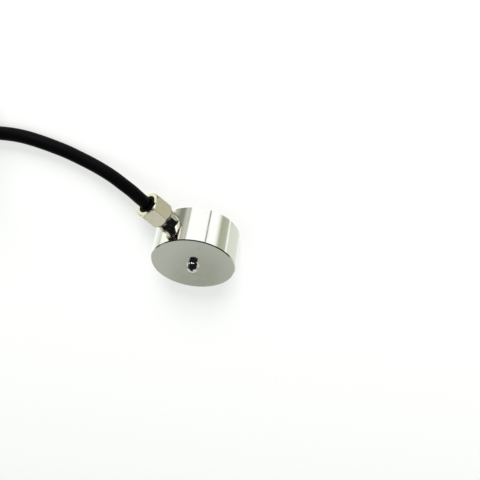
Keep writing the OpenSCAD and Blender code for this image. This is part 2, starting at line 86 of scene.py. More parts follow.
# %% Grid surface
def grid_piece(name, points, around=True, caps=True, loop=False, uv=None):
    """Makes a mesh from points[i, j]: i runs along the piece and j round it.

    Quads join neighbours, turned so that they face outwards when j goes round
    counterclockwise seen against i. around closes j on itself and loop closes i; caps
    closes both ends with a fan to the middle of the end ring. Where j closes, the UVs
    have one column more than the points, so the pattern isn't squeezed at the seam."""
    rows, cols = points.shape[:2]
    spans = np.arange(rows if loop else rows - 1), np.arange(cols if around else cols - 1)
    i, j = np.meshgrid(*spans, indexing="ij")
    i2, j2 = (i + 1) % rows, (j + 1) % cols
    quads = np.stack([i * cols + j, i * cols + j2, i2 * cols + j2, i2 * cols + j], axis=-1)
    vertices = points.reshape(-1, 3)
    faces = quads.reshape(-1, 4).tolist()
    ring = np.arange(cols)
    turn = (ring + 1) % cols
    if caps:
        first, last, base = len(vertices), len(vertices) + 1, (rows - 1) * cols
        faces += np.stack([np.full(cols, first), turn, ring], axis=-1).tolist()
        faces += np.stack([np.full(cols, last), base + ring, base + turn], axis=-1).tolist()
        vertices = np.vstack([vertices, points[0].mean(axis=0), points[-1].mean(axis=0)])
    mesh = bpy.data.meshes.new(name)
    mesh.from_pydata((vertices * mm).tolist(), [], faces)
    if uv is not None:
        quad_uv = np.stack([uv[i, j], uv[i, j + 1], uv[i + 1, j + 1], uv[i + 1, j]], axis=-2)
        corners = [quad_uv.reshape(-1, 2)]
        if caps:
            middle = np.broadcast_to(uv[[0, -1]].mean(axis=1)[:, None], (2, cols, 2))
            fans = (
                (middle[0], uv[0, ring + 1], uv[0, ring]),
                (middle[1], uv[-1, ring], uv[-1, ring + 1]),
            )
            corners += [np.stack(fan, axis=1).reshape(-1, 2) for fan in fans]
        layer = mesh.uv_layers.new(name="UVMap")
        layer.data.foreach_set("uv", np.vstack(corners).astype(np.float32).ravel())
    mesh.polygons.foreach_set("use_smooth", np.ones(len(mesh.polygons), dtype=bool))
    mesh.update()
    piece = bpy.data.objects.new(name, mesh)
    bpy.context.scene.collection.objects.link(piece)
    return piece


print("a grid of 4 x 3 points closed round j makes", 3 * 3, "quads and", 2 * 3, "cap triangles")

# %% Length and directions along a path
def run_of(path):
    """Distance walked along a path at each of its points."""
    steps = np.linalg.norm(np.diff(path, axis=0), axis=1)
    return np.concatenate([[0], np.cumsum(steps)])


def frames_of(path, side_ref=(0, 0, 1)):
    """Heading, side and upward direction at each point of a path.

    The heading is the central difference; the side is the cross product of a fixed
    reference and the heading, so the rings don't twist."""
    heading = np.gradient(path, axis=0)
    heading /= np.linalg.norm(heading, axis=1, keepdims=True)
    side = np.cross(np.asarray(side_ref, float), heading)
    side /= np.linalg.norm(side, axis=1, keepdims=True)
    return heading, side, np.cross(heading, side)


quarter = np.radians(np.linspace(0, 90, 50))
quarter_turn = np.stack([np.cos(quarter), np.sin(quarter), 0 * quarter], axis=1)
print("a quarter turn of radius 1 is", round(run_of(quarter_turn)[-1], 3), "long")

# %% [markdown]
# ## The cable's route
# A cable of this kind is about 1.8 m long and 2.9 mm thick. It leaves the gland
# straight, sinks to the floor, wanders off in a soft bend and ends in a neat coil held
# by two ties. A curve through a few chosen points gives the free part. The coil is
# worked out from rules instead: a turn keeps its radius for most of its way, then
# steps aside by one cable's width, and the last turn of a layer climbs onto the next.

# %% Smooth line through points
def through(points, step):
    """Catmull-Rom curve: each span is the cubic whose slope at a point is half the
    difference of that point's two neighbours. It is then cut into equal steps."""
    p = np.asarray(points, float)
    p = np.vstack([2 * p[0] - p[1], p, 2 * p[-1] - p[-2]])
    t = np.linspace(0, 1, 24, endpoint=False)[None, :, None]
    a, b, c, d = (q[:, None, :] for q in (p[:-3], p[1:-2], p[2:-1], p[3:]))
    bend, twist = 2 * a - 5 * b + 4 * c - d, 3 * b - a - 3 * c + d
    curve = 0.5 * (2 * b + (c - a) * t + bend * t**2 + twist * t**3)
    curve = np.vstack([curve.reshape(-1, 3), p[-2]])
    walked = run_of(curve)
    even = np.linspace(0, walked[-1], max(2, int(round(walked[-1] / step)) + 1))
    return np.stack([np.interp(even, walked, curve[:, i]) for i in range(3)], axis=1)


def ease(x):
    """Smooth step from 0 to 1: half of one minus the cosine."""
    return 0.5 - 0.5 * np.cos(np.pi * np.clip(x, 0, 1))


print("eased quarter, half and three quarters:", ease(np.array([0.25, 0.5, 0.75])).round(3))

# %% Free part of the cable
cable_d = 2.9
cable_r = cable_d / 2
gland_end = (17.6, 0, 3.7)
floor_route = [
    gland_end, (20, 0, 3.7), (22.5, 0, 3.55), (25, 0.4, 3.25), (27.5, 1, 2.8),
    (30, 1.9, 2.35), (32.5, 3, 1.95), (35, 4.2, 1.65), (37.5, 5.3, 1.5),
    (40, 6.6, 1.45), (42.5, 8, 1.45), (44.9, 9.6, 1.45), (46.9, 11.4, 1.45),
    (48.7, 13.6, 1.45), (50.5, 16, 1.45), (52.6, 18.4, 1.45), (55.2, 20.8, 1.45),
    (58.2, 23, 1.45), (61.3, 24.8, 1.45), (64.6, 26.2, 1.45), (68, 27.2, 1.45),
    (71.3, 27.9, 1.45), (74.3, 28.35, 1.45), (77.2, 28.7, 1.45), (80.2, 29, 1.45),
    (83.3, 29.13, 1.45),
]
free_line = through(floor_route, 0.9)
print("free cable", round(run_of(free_line)[-1], 1), "mm")

# %% Coil
coil_centre = np.array([86.4, 10.3])
coil_rows, coil_columns = 5, 4
coil_mean_r = 14.5
coil_outer_r = coil_mean_r + coil_columns * cable_d / 2
coil_h = coil_rows * cable_d
join_a = 123  # degrees round the coil at which the free cable joins it
zone = 40  # degrees that a step aside or a climb takes
print("bundle", coil_columns * cable_d, "x", coil_h, "mm")


# %% Winding
def winding_steps():
    """Turned angles, in degrees, at which the cable steps aside or climbs.

    In each layer the steps come once a turn, at one spot; the spot moves back by two
    zones from layer to layer, so no step happens where a neighbour climbs."""
    inward, climbs, start = [], [], 0
    for layer in range(coil_rows):
        spot = 300 - 2 * zone * layer
        first = spot + 360 * int(np.ceil((start + 200 - spot) / 360))
        way = -1 if layer % 2 == 0 else 1
        inward += [(first + 360 * k, way) for k in range(coil_columns - 1)]
        last = first + 360 * (coil_columns - 2) + zone
        spot = 260 - 2 * zone * layer if layer < coil_rows - 1 else 280
        climb = spot + 360 * int(np.ceil((last + 200 - spot) / 360))
        climbs.append(climb)
        start = climb + zone
    return inward, climbs, start


def coil_line(step_angle=12):
    """Winding as a polar curve: its radius and height are sums of smooth steps."""
    aside, climbs, end = winding_steps()
    end = 360 * round((end - (90 - join_a)) / 360) + (90 - join_a)
    u = np.linspace(0, end, int(end / step_angle) + 1)
    steps = sum(way * cable_d * ease((u - a) / zone) for a, way in aside)
    radius = coil_outer_r - cable_r + steps
    height = cable_r + sum(cable_d * ease((u - a) / zone) for a in climbs)
    angle = np.radians(90 - u)
    x = coil_centre[0] + radius * np.cos(angle)
    y = coil_centre[1] + radius * np.sin(angle)
    return np.stack([x, y, height], axis=1), u


coil_path, turned = coil_line()
coil_run = round(run_of(coil_path)[-1])
print("coil of", round(turned[-1] / 360, 1), "turns,", coil_run, "mm of cable")

# %% [markdown]
# The end of the cable lies on top of the coil. It goes into a shrink sleeve, out of
# which the bare cores fan. A cubic curve between two known places and two known
# headings is enough for each of them, so the tail, the cores and the drain wire all
# use the same small function as the solids do.

# %% Tail and cores
lay_gap = 0.1
sleeve_a, sleeve_l, sleeve_r = 51, 9, 1.8
core_r, drain_r = 0.3, 0.15
sleeve_z = coil_h + sleeve_r + lay_gap


def on_top(angle, radius, z):
    """Point over the coil at an angle in degrees."""
    a = np.radians(angle)
    return np.array([coil_centre[0] + radius * np.cos(a), coil_centre[1] + radius * np.sin(a), z])


def clockwise(angle):
    """Heading of a clockwise turn at an angle in degrees."""
    a = np.radians(angle)
    return np.array([np.sin(a), -np.cos(a), 0.0])


def blend(p, m, n, q, t):
    """Cubic curve from p, leaving along m, to q, arriving along n."""
    t = np.asarray(t, float)[:, None]
    left, right = (1 - t) ** 3 * p + 3 * (1 - t) ** 2 * t * (p + m), t**3 * q
    return left + 3 * (1 - t) * t**2 * (q - n) + right


sleeve_way = clockwise(sleeve_a)
sleeve_start = on_top(sleeve_a, coil_mean_r, sleeve_z) - sleeve_way * sleeve_l / 2
sleeve_stop = sleeve_start + sleeve_way * sleeve_l
tail_from = on_top(join_a, coil_outer_r - cable_r - 3 * cable_d, coil_h + cable_r + lay_gap)
tail_steps = np.linspace(0, 1, 16)
tail_line = blend(tail_from, clockwise(join_a) * 5, sleeve_way * 5, sleeve_start, tail_steps)
print("tail", round(run_of(tail_line)[-1], 1), "mm")

# %% [markdown]
# ## Tubes
# The cable, the cores and the wires are all the same surface: a circle carried along a
# line. The grid's U is the distance walked in millimetres and V the distance round the
# tube, so the jacket's fine grain can follow the cable round every turn.

# %% Tube
def tube(name, path, radius, sides=20, side_ref=(0, 0, 1), ends=(0.25, 0.25)):
    """Circle of a radius carried along a path: point = path + r (cos a side + sin a up).

    Where an end is given a share, one more ring of so much less radius closes it, as a
    broken edge does."""
    heading, side, up = frames_of(path, side_ref)
    extra_first, extra_last = int(ends[0] > 0), int(ends[1] > 0)
    pick = np.clip(np.arange(-extra_first, len(path) + extra_last), 0, len(path) - 1)
    line, side, up = path[pick], side[pick], up[pick]
    scale = np.ones(len(pick))
    if extra_first:
        scale[0] = 1 - ends[0]
    if extra_last:
        scale[-1] = 1 - ends[1]
    a = np.linspace(0, 2 * np.pi, sides, endpoint=False)
    turn_side, turn_up = np.cos(a)[None, :, None], np.sin(a)[None, :, None]
    circle = turn_side * side[:, None, :] + turn_up * up[:, None, :]
    radii = radius * scale
    points = line[:, None, :] + radii[:, None, None] * circle
    girth = np.linspace(0, 2 * np.pi * np.mean(radii), sides + 1)
    uv = np.stack(np.broadcast_arrays(run_of(line)[:, None], girth[None, :]), axis=-1)
    return grid_piece(name, points, uv=uv)


flat_share = round(100 * np.cos(np.pi / 18), 1)
print("an 18-sided ring is", flat_share, "% as wide across its flats as a circle")

# %% The cable itself
cable_line = np.vstack([free_line, coil_path, tail_line[1:]])
cable_piece = tube("cable_run", cable_line, cable_r, sides=18, ends=(0, 0))
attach(cable_piece, "root")
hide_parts("cable", "cable_coil", "cable_tail")
cable_run_mm = round(run_of(cable_line)[-1])
print("whole cable", cable_run_mm, "mm,", len(cable_piece.data.polygons), "faces")

# %% [markdown]
# ## Sleeve and cores
# Shrink sleeve is a tube that has been heated until it grips: it is widest over the
# jacket, necks down where the jacket ends, and its mouth stays a little open round the
# cores. That makes it a turned profile, which is a circle whose radius changes along
# the axis. The cores are tubes again, with their last millimetres stripped and tinned.

# %% Shrink sleeve
def sleeve_piece():
    """Profile of radius against distance, out along the skin and back in at the mouth."""
    profile = np.array([
        (0, 1.5), (0.05, 1.66), (0.35, 1.76), (0.9, 1.78), (3.6, 1.76), (4.6, 1.66), (5.4, 1.42),
        (6.2, 1.3), (8.4, 1.24), (8.95, 1.22), (9.0, 1.12), (8.95, 1.02), (8.2, 0.98),
    ])
    along, radius = profile.T
    path = sleeve_start + np.outer(along, sleeve_way)
    side = np.cross([0, 0, 1], sleeve_way)
    a = np.linspace(0, 2 * np.pi, 32, endpoint=False)
    circle = np.cos(a)[:, None] * side + np.sin(a)[:, None] * np.array([0, 0, 1.0])
    points = path[:, None, :] + radius[:, None, None] * circle[None]
    girth = np.linspace(0, 2 * np.pi * 1.6, len(a) + 1)
    uv = np.stack(np.broadcast_arrays(along[:, None], girth[None, :]), axis=-1)
    return grid_piece("shrink_sleeve", points, uv=uv)


sleeve = sleeve_piece()
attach(sleeve, "root")
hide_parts("end_sleeve")
print("sleeve", sleeve_l, "mm long,", len(sleeve.data.polygons), "faces")

# %% Free cores
def core_line(across, up, out, z, from_t=0.0, to_t=1.0, count=28):
    """Curve of one free conductor: it starts beside its neighbours in the sleeve and
    ends on the coil, a quarter turn on, at its own place in the fan."""
    a = np.radians(sleeve_a)
    start = sleeve_stop + np.array([np.cos(a), np.sin(a), 0]) * across + np.array([0, 0, up])
    stop = on_top(sleeve_a - 90, coil_mean_r + out * 2.2, z)
    reach = coil_mean_r * 0.55  # a handle of 0.55 radii bends a cubic like a quarter turn
    leave, arrive = sleeve_way * reach, clockwise(sleeve_a - 90) * reach
    return blend(start, leave, arrive, stop, np.linspace(from_t, to_t, count))


# for each core: its place in the sleeve, across and up in mm, and its place in the fan
core_places = {
    "red": (-0.45, 0.45, -1.5),
    "black": (-0.45, -0.45, -0.5),
    "green": (0.45, -0.45, 0.5),
    "white": (0.45, 0.45, 1.5),
}
core_top = coil_h + core_r + lay_gap
drain_top = coil_h + drain_r + lay_gap
free_pieces, bare_pieces = [], []
for colour, (across, up, out) in core_places.items():
    whole = core_line(across, up, out, core_top, -0.02, 0.8)
    piece = tube(f"lead_{colour}", whole, core_r, sides=12, ends=(0, 0.2))
    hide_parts(f"free_{colour}")
    free_pieces.append(piece)
    stripped = core_line(across, up, out, core_top, 0.78, 1.0)
    bare_pieces.append(tube(f"tinned_{colour}", stripped, 0.22, sides=10, ends=(0, 0.5)))
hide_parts("tinned_ends")
drain_line = core_line(0, 0, 0, drain_top, -0.02, 1.0)
drain = tube("lead_drain", drain_line, drain_r, sides=10, ends=(0, 0.4))
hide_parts("free_drain")
for piece in free_pieces + bare_pieces + [drain]:
    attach(piece, "root")
print("free ends:", len(free_pieces) + len(bare_pieces) + 1, "pieces")

# %% [markdown]
# ## Cable ties
# A tie is a nylon strap pulled tight round the bundle through a head with a small pawl.
# The strap follows the bundle's outline, which is a rectangle with the cable's own
# radius at its corners. It is a flat section carried round that outline, and the head
# is a soft-edged box with the strap's cut end standing out of it.

# %% Strap round the bundle
strap_floor, strap_thickness = 0.02, 0.68
strap_near, strap_far = 0.12, 0.78  # its two faces, in mm off the bundle


def bundle_outline(grow, lowest, count=16):
    """Outline of the bundle in its own plane: a rounded rectangle, grown outwards.

    Each corner is a quarter circle about the middle of the corner turn. No point is
    under the lowest height, because the strap can't sink into the floor."""
    near = coil_mean_r - coil_columns * cable_d / 2 + cable_r
    far, low, high = coil_outer_r - cable_r, cable_r, coil_h - cable_r
    parts = []
    for x, z, start in ((far, high, 0), (near, high, 90), (near, low, 180), (far, low, 270)):
        a = np.radians(np.linspace(start, start + 90, count))
        reach = cable_r + grow
        parts.append(np.stack([x + reach * np.cos(a), z + reach * np.sin(a)], axis=1))
    outline = np.vstack(parts)
    outline[:, 1] = np.maximum(outline[:, 1], lowest)
    return outline


def turned_about_coil(points, angle):
    """Takes points given as (radius, across, height) to their place on the coil."""
    a = np.radians(angle)
    x = coil_centre[0] + points[..., 0] * np.cos(a) - points[..., 1] * np.sin(a)
    y = coil_centre[1] + points[..., 0] * np.sin(a) + points[..., 1] * np.cos(a)
    return np.stack([x, y, points[..., 2]], axis=-1)


def tie_strap(name, angle, width=2.5):
    """Closed band: the section runs over the outer face, round the edge and back."""
    outer = bundle_outline(strap_far, strap_floor)
    inner = bundle_outline(strap_near, strap_floor + strap_thickness)
    upper, lower = 0.8 * outer + 0.2 * inner, 0.2 * outer + 0.8 * inner
    half, soft = width / 2, 0.18
    section = [
        (outer, -half + soft), (outer, half - soft), (upper, half), (lower, half),
        (inner, half - soft), (inner, -half + soft), (lower, -half), (upper, -half),
    ]
    lines = [np.insert(line, 1, across, axis=1) for line, across in section]
    rings = np.stack(lines, axis=1)
    piece = grid_piece(name, turned_about_coil(rings, angle), caps=False, loop=True)
    piece.data.set_sharp_from_angle(angle=np.radians(40))
    return piece


strap_run = run_of(bundle_outline((strap_near + strap_far) / 2, strap_floor))[-1]
print("a strap goes", round(strap_run), "mm round the bundle")

# %% Head of a tie
def soft_box(name, low, high, angle, edge):
    """Box between two corners, given as (radius, across, height), with soft edges."""
    low, high = np.asarray(low, float), np.asarray(high, float)
    ring = low[:2] + np.array([(0, 0), (1, 0), (1, 1), (0, 1)]) * (high - low)[:2]
    levels = np.stack([np.insert(ring, 2, z, axis=1) for z in (low[2], high[2])])
    piece = grid_piece(name, turned_about_coil(levels, angle), caps=True)
    flat = np.zeros(len(piece.data.polygons), dtype=bool)
    piece.data.polygons.foreach_set("use_smooth", flat)
    bevel = piece.modifiers.new("soft_edges", "BEVEL")
    bevel.width = edge * mm
    bevel.segments = 3
    bevel.limit_method = "ANGLE"
    return piece


tie_pieces = []
head_l = 3.6
head_r = coil_outer_r - cable_r - head_l
head_box = (head_r, -1.9, coil_h + 0.12), (head_r + head_l, 1.9, coil_h + 2.65)
stub_box = (head_r - 1.6, -1.2, coil_h + 0.95), (head_r + 0.3, 1.2, coil_h + 1.6)
for number, angle in enumerate((185, 240), start=1):
    strap = tie_strap(f"tie_strap_{number}", angle)
    head = soft_box(f"tie_head_{number}", *head_box, angle, 0.3)
    stub = soft_box(f"tie_stub_{number}", *stub_box, angle, 0.12)
    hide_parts(f"coil_tie_{number}")
    for piece in (strap, head, stub):
        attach(piece, "root")
        tie_pieces.append(piece)
print("ties:", len(tie_pieces), "pieces")

# %% [markdown]

# %% The cable is done
print("cable built")

# %% [markdown]
# ## Cores inside the body
# Inside the sealed body the same cores run from the gland to the terminal ring. The
# solids there are eight-sided rods, so each gets a smooth tube along the same curve.

# %% Inner cores
body_r, cavity_r, gland_z = 10.0, 7.4, 3.7
solder_z = 5.4 - 0.35  # the ring's lower face less half a drop of solder
jacket_x = body_r - 0.8 + 0.6  # where the jacket is cut, inside the spigot
core_pitch = 0.45  # the cores' distance from the cable's middle, across and up


def inner_line(across, up, joint, bend_x, lead, rise):
    """Straight run out of the jacket, then a cubic curve up to the solder joint."""
    start = np.array([jacket_x + 0.1, across, gland_z + up])
    bend = np.array([bend_x, across, gland_z + up])
    stop = np.array([joint[0], joint[1], solder_z + 0.05])
    leave, arrive = np.array([-lead, 0, 0]), np.array([0, 0, rise])
    curve = blend(bend, leave, arrive, stop, np.linspace(0, 1, 24))
    return np.vstack([start, (start + bend) / 2, curve])


pad_r = cavity_r - 2.4
bend_x = cavity_r - 0.5
# for each core: its pad's angle on the ring and its side of the cable
pads = {"red": (48, 1, -1), "black": (-16, -1, 1), "green": (16, 1, 1), "white": (-48, -1, -1)}
inner_pieces = []
for colour, (pad_a, side_y, side_z) in pads.items():
    joint = pad_r * np.array([np.cos(np.radians(pad_a)), np.sin(np.radians(pad_a))])
    across, up = side_y * core_pitch, side_z * core_pitch
    lead = 0.5 * np.hypot(bend_x - joint[0], across - joint[1])
    line = inner_line(across, up, joint, bend_x, lead, (solder_z - gland_z - up) * 0.8)
    piece = tube(f"inner_{colour}", line, core_r, sides=12, side_ref=(0, 1, 0), ends=(0, 0))
    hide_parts(f"core_{colour}")
    inner_pieces.append(piece)
line = inner_line(0, 0, (cavity_r - 1.2, 0), cavity_r - 0.2, 0.5, 0.6)
piece = tube("inner_drain", line, drain_r, sides=10, side_ref=(0, 1, 0), ends=(0, 0))
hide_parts("drain_wire")
inner_pieces.append(piece)
for piece in inner_pieces:
    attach(piece, "root")
print("inner wires:", len(inner_pieces))

# %% [markdown]
# ## Colours and shader nodes
# Colours are picked as sRGB hex values, as a paint chart gives them, and Blender's
# shaders want linear light, so one function turns the first into the second. Another
# adds a shader node with its settings and links in one line.

# %% Helpers for materials
def linear(hex_colour):
    """sRGB hex to linear: up to 0.04045 divide by 12.92, the rest follow a 2.4 power."""
    s = np.array([int(hex_colour[k:k + 2], 16) for k in (1, 3, 5)]) / 255
    c = np.where(s <= 0.04045, s / 12.92, ((s + 0.055) / 1.055) ** 2.4)
    return (float(c[0]), float(c[1]), float(c[2]), 1.0)


def add(tree, kind, settings=None, **links):
    """Adds one node; each link names an input, or numbers it as i0, i1 and so on, and
    gives a socket to link or a value to set."""
    node = tree.nodes.new(kind)
    for key, value in (settings or {}).items():
        setattr(node, key, value)
    for key, value in links.items():
        numbered = key[0] == "i" and key[1:].isdigit()
        socket = node.inputs[int(key[1:]) if numbered else key.replace("_", " ")]
        if isinstance(value, bpy.types.NodeSocket):
            tree.links.new(value, socket)
        else:
            socket.default_value = value
    return node


def finish(name, colour, metallic, roughness, **sockets):
    """A Principled material of one finish; constants go straight on its sockets."""
    material = bpy.data.materials.new(name)
    material.use_nodes = True
    shader = material.node_tree.nodes["Principled BSDF"]
    shader.inputs["Base Color"].default_value = linear(colour)
    shader.inputs["Metallic"].default_value = metallic
    shader.inputs["Roughness"].default_value = roughness
    for key, value in sockets.items():
        shader.inputs[key.replace("_", " ")].default_value = value
    return material, material.node_tree, shader


def wear(piece, material):
    """Gives a piece or a CAD solid its material."""
    target = nodes[piece] if isinstance(piece, str) else piece
    target.data.materials.clear()
    target.data.materials.append(material)


print("mid grey #808080 is", round(linear("#808080")[0], 3), "in linear light")

# %% [markdown]
# ## Polished stainless steel
# The body is turned from stainless bar, then ground and polished until it mirrors the
# room. Real polish is never perfect: a fine grain of turning marks runs round the axis,
# the gloss wanders slowly, and some specks of dust sit on the face. All of them are far
# weaker than the mirror itself, so they only nudge the normal, the roughness and the tone.

# %% Steel of the body
def polished_steel():
    """A mirror whose normal, gloss and tone are each nudged by one pattern."""
    material, tree, shader = finish("polished_stainless_steel", "#E4E4E1", 1.0, 0.08)
    place = add(tree, "ShaderNodeTexCoord").outputs["Object"]
    apart = add(tree, "ShaderNodeSeparateXYZ", Vector=place)
    x, y, z = (apart.outputs[axis] for axis in "XYZ")
    x_squared = add(tree, "ShaderNodeMath", {"operation": "MULTIPLY"}, i0=x, i1=x)
    squared = add(tree, "ShaderNodeMath", {"operation": "MULTIPLY_ADD"}, i0=y, i1=y,
                  i2=x_squared.outputs[0])
    radius = add(tree, "ShaderNodeMath", {"operation": "SQRT"}, i0=squared.outputs[0])
    ring = add(tree, "ShaderNodeCombineXYZ", X=radius.outputs[0], Y=z, Z=0.0)
    # turning marks about 0.1 mm apart, round the axis and up the wall: real ones are
    # ten times finer, which the render couldn't show
    marks = add(tree, "ShaderNodeTexNoise", Vector=ring.outputs[0], Scale=9000.0, Detail=2.0,
                Roughness=0.6)
    low = add(tree, "ShaderNodeBump", Strength=0.06, Distance=0.00002, Height=marks.outputs["Fac"])
    tree.links.new(low.outputs[0], shader.inputs["Normal"])
    # slow unevenness of the polish, about 2 mm across
    cloud = add(tree, "ShaderNodeTexNoise", Vector=place, Scale=450.0, Detail=3.0, Roughness=0.55)
    blur = add(tree, "ShaderNodeMapRange", Value=cloud.outputs["Fac"], i1=0.3, i2=0.7, i3=0.06,
               i4=0.12)
    tree.links.new(blur.outputs[0], shader.inputs["Roughness"])
    # dust and pits up to 0.2 mm across, about one on each square centimetre
    dust = add(tree, "ShaderNodeTexVoronoi", {"feature": "F1"}, Vector=place, Scale=420.0,
               Randomness=1.0)
    speck = add(tree, "ShaderNodeMapRange", Value=dust.outputs["Distance"], i1=0.03, i2=0.055,
                i3=1.0, i4=0.0)
    chance = add(tree, "ShaderNodeSeparateColor", Color=dust.outputs["Color"])
    rare = add(tree, "ShaderNodeMath", {"operation": "GREATER_THAN"}, i0=chance.outputs[0], i1=0.6)
    spot = add(tree, "ShaderNodeMath", {"operation": "MULTIPLY"}, i0=speck.outputs[0],
               i1=rare.outputs[0])
    tone = add(tree, "ShaderNodeMix", {"data_type": "RGBA"}, i0=spot.outputs[0],
               i6=linear("#E4E4E1"), i7=linear("#77776F"))
    tree.links.new(tone.outputs[2], shader.inputs["Base Color"])
    return material


steel = polished_steel()
wear("cell_body", steel)
print("body wears", steel.name)

# %% [markdown]
# ## Other metals
# The gland is turned and milled from hexagon bar and nickel plated, which leaves a
# slightly warm, softer mirror than the polished body. Its edges were tumbled before
# plating, so each one catches the light along a thin line; a Bevel node draws that line
# on the solid's sharp edges. The cover and the washer are stamped from sheet and keep the
# straight grain of the brushed stock. Solder and tinned copper are bright but lumpy. One
# function can make all of these, because they differ only in which way the grain runs,
# how fine it is and how deep.

# %% Metals of the small pieces
def grained_metal(name, colour, roughness, stretch, scale, depth, spread=0.05, edge=0.0):
    """Metal with a grain: noise squeezed along one direction, in the normal and gloss.

    With an edge, in millimetres, the shading rounds the solid's sharp edges by as much."""
    material, tree, shader = finish(name, colour, 1.0, roughness)
    place = add(tree, "ShaderNodeTexCoord").outputs["Object"]
    drawn = add(tree, "ShaderNodeMapping", Vector=place, Scale=stretch)
    grain = add(tree, "ShaderNodeTexNoise", Vector=drawn.outputs[0], Scale=scale, Detail=3.0,
                Roughness=0.6)
    gloss = add(tree, "ShaderNodeMapRange", Value=grain.outputs["Fac"], i1=0.3, i2=0.7,
                i3=roughness - spread, i4=roughness + spread)
    tree.links.new(gloss.outputs[0], shader.inputs["Roughness"])
    relief = add(tree, "ShaderNodeBump", Strength=0.2, Distance=depth, Height=grain.outputs["Fac"])
    if edge:
        broken = add(tree, "ShaderNodeBevel", {"samples": 6}, Radius=edge * mm)
        tree.links.new(broken.outputs[0], relief.inputs["Normal"])
    tree.links.new(relief.outputs[0], shader.inputs["Normal"])
    return material


# name, colour, roughness, stretch of the grain, grains per metre, depth in metres
gland_metal = grained_metal("nickel_plated_gland", "#D8D2BD", 0.16, (0.15, 1, 1), 6000, 0.00001,
                            edge=0.12)
neck_metal = grained_metal("polished_gland_neck", "#D8D4C8", 0.10, (1, 0.1, 0.1), 6000, 0.00001,
                           edge=0.08)
cover_metal = grained_metal("brushed_steel_sheet", "#D2D2CE", 0.26, (0.05, 1, 1), 5000, 0.00002)
solder_metal = grained_metal("bright_solder", "#D6D7DA", 0.22, (1, 1, 1), 3000, 0.00004, 0.08)
tinned_metal = grained_metal("tinned_copper_strands", "#CFC8BA", 0.28, (1, 1, 1), 4000, 0.00003)
worn_by = [
    (gland_metal, ["gland_nut"]),
    (neck_metal, ["gland_nipple"]),
    (cover_metal, ["base_cover", "gland_washer"]),
    (solder_metal, ["solder_joints"] + bare_pieces),
    (tinned_metal, [drain, inner_pieces[-1]]),
]
for metal, pieces in worn_by:
    for piece in pieces:
        wear(piece, metal)
print("metals:", [metal.name for metal, pieces in worn_by])

# %% [markdown]
# Next to the collar the nut is turned to a steep cone. The groove between the two lies in shade,
# and the cone is coloured almost black there as painted shade. A cone is easy to give in numbers,
# so the material itself can tell where it lies.

# %% Painted shade in the groove at the nut's neck
cone_x, cone_r = 12.45, 2.875  # where the cone starts, at the nut's end
cone_a = 57  # degrees between the cone and the nut's end
cone_skin = 0.01  # what lies so near the cone counts as on it


def paint_neck_shade(material, depth):
    """Paints shade: darkens what lies behind the cone x - cone_x = (r - cone_r) tan cone_a, or less
    than a depth in front of it, with r the distance from the gland's axis."""
    tree = material.node_tree
    shader = tree.nodes["Principled BSDF"]
    place = add(tree, "ShaderNodeTexCoord").outputs["Object"]
    moved = add(tree, "ShaderNodeVectorMath", {"operation": "SUBTRACT"}, i0=place,
                i1=(cone_x * mm, 0, gland_z * mm))
    across = add(tree, "ShaderNodeVectorMath", {"operation": "MULTIPLY"}, i0=moved.outputs[0],
                 i1=(0, 1, 1))
    radius = add(tree, "ShaderNodeVectorMath", {"operation": "LENGTH"}, i0=across.outputs[0])
    along = add(tree, "ShaderNodeSeparateXYZ", Vector=moved.outputs[0])
    slope = float(np.tan(np.radians(cone_a)))
    cone = add(tree, "ShaderNodeMath", {"operation": "MULTIPLY_ADD"}, i0=radius.outputs["Value"],
               i1=slope, i2=-cone_r * mm * slope)
    ahead = add(tree, "ShaderNodeMath", {"operation": "SUBTRACT"}, i0=along.outputs["X"],
                i1=cone.outputs[0])
    # painted shade mask: 1 on the cone, fading out within a depth in front of it
    neck_shade_mask = add(tree, "ShaderNodeMapRange", Value=ahead.outputs[0], i1=depth * mm,
               i2=2 * depth * mm, i3=1.0, i4=0.0)
    unshaded_tone = tuple(shader.inputs["Base Color"].default_value)
    # near-black painted shade laid over the nut's own colour on the cone
    tone = add(tree, "ShaderNodeMix", {"data_type": "RGBA"}, i0=neck_shade_mask.outputs[0], i6=unshaded_tone,
               i7=linear("#1E1C18"))
    tree.links.new(tone.outputs[2], shader.inputs["Base Color"])


paint_neck_shade(gland_metal, cone_skin)
print("the nut is dark on its cone, from", cone_r, "mm off its axis outwards")

# %% [markdown]
# ## Jacket, rubber and nylon
# The jacket is black polyurethane, extruded, with a satin skin and a very fine grain.
# The seal is nitrile rubber, duller still. The ties are moulded nylon and the sleeve is
# polyolefin that has wrinkled a little as it shrank. Each one is nearly black, so what
# tells them apart is how the light slides over them: the roughness and the relief.

# %% Soft blacks
def satin_polymer(name, colour, roughness, scale, depth, stretch=(1, 1, 1), coords="Object",
                  tint=0.85, gleam=0.5):
    """Plastic or rubber: a fine relief, a slow change of tone and a change of gloss.

    The tone goes from tint times the colour to the colour divided by tint."""
    material, tree, shader = finish(name, colour, 0.0, roughness, Specular_IOR_Level=gleam)
    place = add(tree, "ShaderNodeTexCoord").outputs[coords]
    fine_place = add(tree, "ShaderNodeMapping", Vector=place, Scale=stretch)
    grain = add(tree, "ShaderNodeTexNoise", Vector=fine_place.outputs[0], Scale=scale, Detail=4.0,
                Roughness=0.6)
    slow = add(tree, "ShaderNodeTexNoise", Vector=place, Scale=scale / 14, Detail=2.0)
    dark = tuple(v * tint for v in linear(colour)[:3]) + (1.0,)
    pale = tuple(min(1, v / tint) for v in linear(colour)[:3]) + (1.0,)
    tone = add(tree, "ShaderNodeMix", {"data_type": "RGBA"}, i0=slow.outputs["Fac"], i6=dark,
               i7=pale)
    tree.links.new(tone.outputs[2], shader.inputs["Base Color"])
    gloss = add(tree, "ShaderNodeMapRange", Value=slow.outputs["Fac"], i1=0.3, i2=0.7,
                i3=roughness - 0.05, i4=roughness + 0.05)
    tree.links.new(gloss.outputs[0], shader.inputs["Roughness"])
    relief = add(tree, "ShaderNodeBump", Strength=0.35, Distance=depth, Height=grain.outputs["Fac"])
    tree.links.new(relief.outputs[0], shader.inputs["Normal"])
    return material


